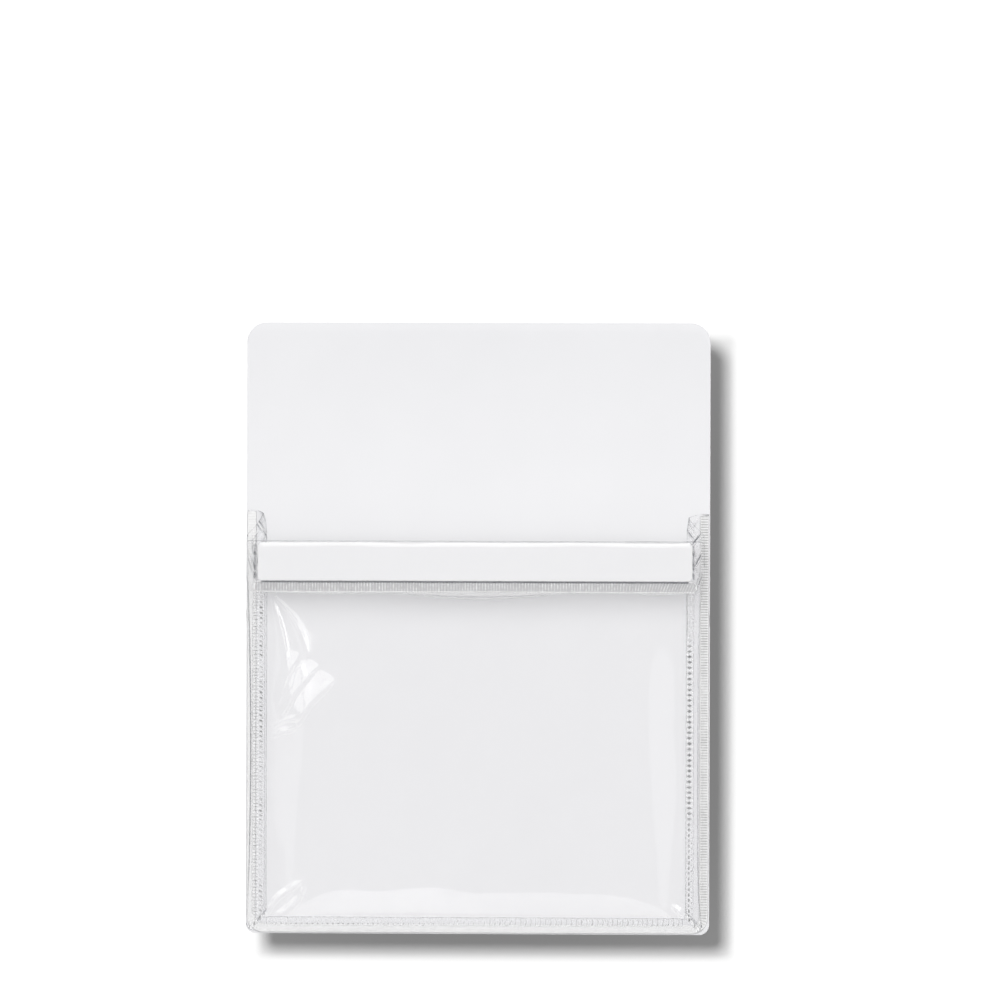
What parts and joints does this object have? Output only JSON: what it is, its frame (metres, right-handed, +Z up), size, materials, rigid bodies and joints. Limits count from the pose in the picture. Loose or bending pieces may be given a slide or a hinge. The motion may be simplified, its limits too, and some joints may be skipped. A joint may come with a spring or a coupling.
{
  "type": "magnetic document pocket",
  "caption": "Upright white panel held by magnet strips behind it, with a clear bellows pocket in front for loose sheets of paper and a sleeve along the mouth for a slide-in label.",
  "frame": {"origin": "centre of the rear face of the middle magnet strip, on the steel surface that it holds to", "axes": "+Z up, +X to the right as the pocket's front is seen, +Y towards the steel surface"},
  "size_m": [0.235, 0.017, 0.308],
  "materials": {
    "white_vinyl": "satin",
    "clear_film": "gloss",
    "label_card": "matte",
    "ferrite_rubber": "matte",
    "tape": "satin"
  },
  "bodies": {
    "back": {"back_panel": "white_vinyl", "magnet_strip_top": "ferrite_rubber", "magnet_strip_middle": "ferrite_rubber", "magnet_strip_bottom": "ferrite_rubber", "adhesive_tape_top": "tape", "adhesive_tape_middle": "tape", "adhesive_tape_bottom": "tape", "left_gusset": "clear_film", "right_gusset": "clear_film", "bottom_gusset": "clear_film"},
    "front": {"front_panel": "clear_film"},
    "label": {"label_strip": "label_card"}
  },
  "joints": [
    {"name": "mouth_open", "type": "hinge", "parent": "back", "child": "front", "pos_m": [0, -0.0152, -0.1478], "axis": [1, 0, 0], "range_deg": [-2.2, 2.5], "stiffness_Nm_per_rad": 1, "deforming": ["left_gusset", "right_gusset"]},
    {"name": "label_slide", "type": "slide", "parent": "front", "child": "label", "axis": [1, 0, 0], "range_m": [-0.2, 0.2]}
  ]
}
